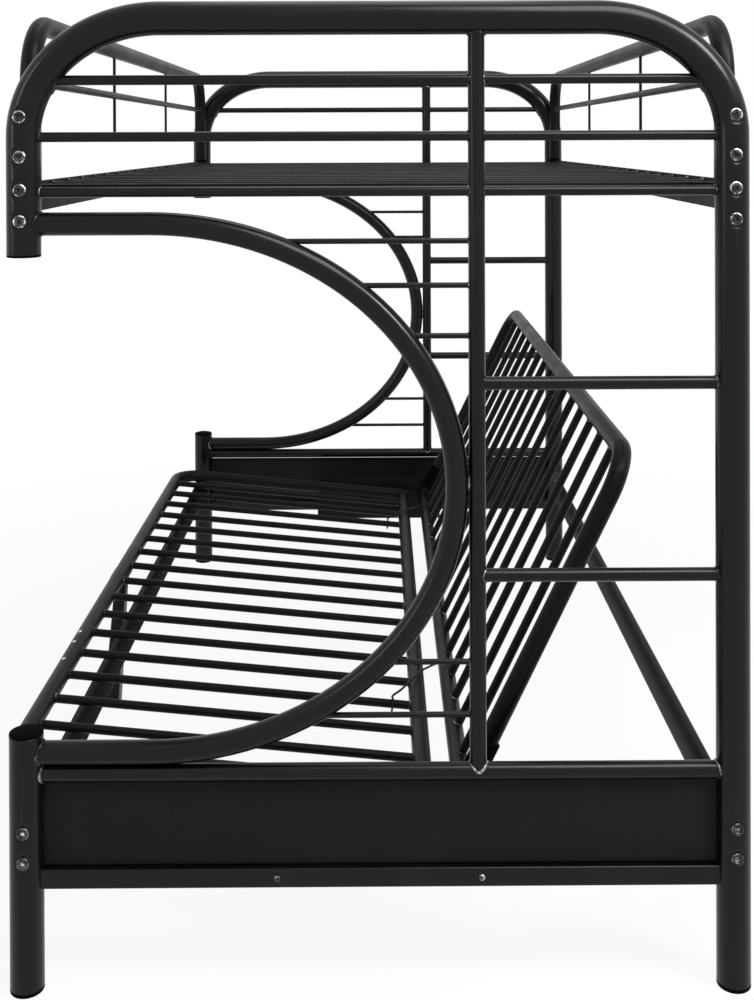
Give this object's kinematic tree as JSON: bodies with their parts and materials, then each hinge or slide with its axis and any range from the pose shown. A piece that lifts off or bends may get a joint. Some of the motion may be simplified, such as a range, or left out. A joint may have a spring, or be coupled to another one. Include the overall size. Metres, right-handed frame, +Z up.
{
  "type": "bunk bed",
  "caption": "Metal bunk bed with a single sleeping deck and an end ladder over a tube-framed futon that slides forward and folds out flat.",
  "frame": {"origin": "on the floor, under the middle of the whole outline", "axes": "+Y along the bed towards the far end frame, +X from the open front to the ladder and wall side, +Z up"},
  "size_m": [1.187, 2.0068, 1.4802],
  "materials": {
    "powder_coat": "semi-gloss black powder coat with a fine grain",
    "black_steel": "satin black stamped steel",
    "black_plastic": "matte moulded plastic"
  },
  "bodies": {
    "root": {"near_hoop": "powder_coat", "near_front_leg": "powder_coat", "near_leg_cap": "black_plastic", "near_stub_plug": "black_plastic", "near_leg_foot": "black_plastic", "near_post_foot": "black_plastic", "near_bow": "powder_coat", "near_ladder_post": "powder_coat", "near_ladder_rung_upper": "powder_coat", "near_ladder_rung_lower": "powder_coat", "near_end_rail_upper": "powder_coat", "near_end_rail_lower": "powder_coat", "near_deck_cross_rail": "powder_coat", "near_bottom_rail": "powder_coat", "near_panel": "powder_coat", "near_panel_bar": "powder_coat", "near_slide_bracket": "black_steel", "far_hoop": "powder_coat", "far_front_leg": "powder_coat", "far_leg_cap": "black_plastic", "far_stub_plug": "black_plastic", "far_leg_foot": "black_plastic", "far_post_foot": "black_plastic", "far_bow": "powder_coat", "far_ladder_post": "powder_coat", "far_ladder_rung_upper": "powder_coat", "far_ladder_rung_lower": "powder_coat", "far_end_rail_upper": "powder_coat", "far_end_rail_lower": "powder_coat", "far_deck_cross_rail": "powder_coat", "far_bottom_rail": "powder_coat", "far_panel": "powder_coat", "far_panel_bar": "powder_coat", "far_slide_bracket": "black_steel", "front_guard_frame": "powder_coat", "front_guard_rails": "powder_coat", "front_deck_rail": "powder_coat", "front_base_rail": "powder_coat", "rear_guard_frame": "powder_coat", "rear_guard_rails": "powder_coat", "rear_deck_rail": "powder_coat", "rear_base_rail": "powder_coat", "deck_slats": "powder_coat"},
    "support_leg": {"support_leg": "black_steel"},
    "seat": {"seat_frame": "powder_coat", "seat_slats": "powder_coat", "near_hinge_plate": "black_steel", "near_hinge_pin": "black_steel", "near_stop_hook": "black_steel", "far_hinge_plate": "black_steel", "far_hinge_pin": "black_steel", "far_stop_hook": "black_steel"},
    "back": {"back_frame": "powder_coat", "back_slats": "powder_coat", "near_back_sleeve": "black_plastic", "far_back_sleeve": "black_plastic"}
  },
  "joints": [
    {"name": "futon_slide", "type": "slide", "parent": "root", "child": "support_leg", "axis": [-1, 0, 0], "range_m": [0, 0.23]},
    {"name": "seat_tilt", "type": "hinge", "parent": "support_leg", "child": "seat", "pos_m": [-0.5455, 0, 0.2957], "axis": [0, -1, 0], "range_deg": [0, 5.53]},
    {"name": "back_fold", "type": "hinge", "parent": "seat", "child": "back", "pos_m": [0.16916, 0, 0.22651], "axis": [0, 1, 0], "range_deg": [0, 69.13]}
  ],
  "couplings": [
    {"joint": "seat_tilt", "follows": "futon_slide", "rad_per_m": 0.41964},
    {"joint": "back_fold", "follows": "futon_slide", "rad_per_m": 5.2459}
  ]
}
